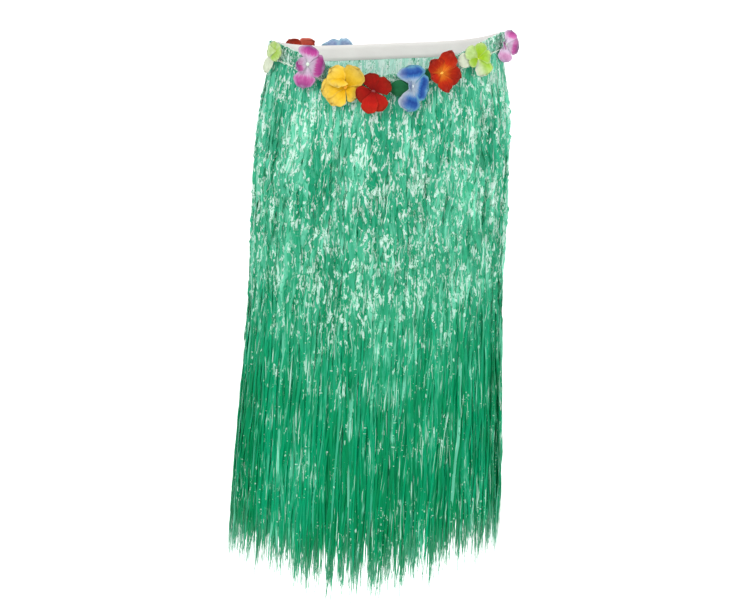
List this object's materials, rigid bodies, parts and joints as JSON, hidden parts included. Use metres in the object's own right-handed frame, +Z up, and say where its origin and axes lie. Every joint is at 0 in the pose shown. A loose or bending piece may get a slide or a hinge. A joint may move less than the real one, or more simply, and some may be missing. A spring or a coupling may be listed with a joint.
{
  "type": "grass skirt",
  "caption": "Long green raffia fringe skirt on a white elastic waistband with a garland of cloth flowers, hollow and open at both ends as when worn.",
  "frame": {"origin": "middle of the waist opening, level with the middle of the elastic at the sides, where the wearer's waist holds the skirt", "axes": "+Z up, the front of the skirt towards -Y, +X to the right as seen from the front"},
  "size_m": [0.4201, 0.2615, 0.8897],
  "materials": {
    "elastic": "ribbed woven elastic",
    "raffia": "crinkled glossy film",
    "raffia_header": "bunched crinkled film",
    "string": "twisted thread",
    "leaf": "satin",
    "flower_lime": "printed satin cloth",
    "flower_purple": "printed satin cloth",
    "flower_yellow": "printed satin cloth",
    "flower_red": "printed satin cloth",
    "flower_blue": "printed satin cloth",
    "flower_orange": "printed satin cloth"
  },
  "bodies": {
    "root": {"waist_elastic": "elastic", "raffia_header": "raffia_header", "raffia_fringe": "raffia", "garland_string": "string", "flower_lime_left": "flower_lime", "flower_purple_left": "flower_purple", "flower_yellow_left": "flower_yellow", "flower_red_front": "flower_red", "flower_blue_front": "flower_blue", "flower_orange_right": "flower_orange", "flower_lime_right": "flower_lime", "flower_purple_right": "flower_purple", "flower_yellow_back": "flower_yellow", "flower_red_back": "flower_red", "flower_blue_back": "flower_blue", "flower_orange_back": "flower_orange", "leaf_front_1": "leaf", "leaf_front_2": "leaf", "leaf_back_1": "leaf", "leaf_back_2": "leaf"}
  },
  "joints": []
}
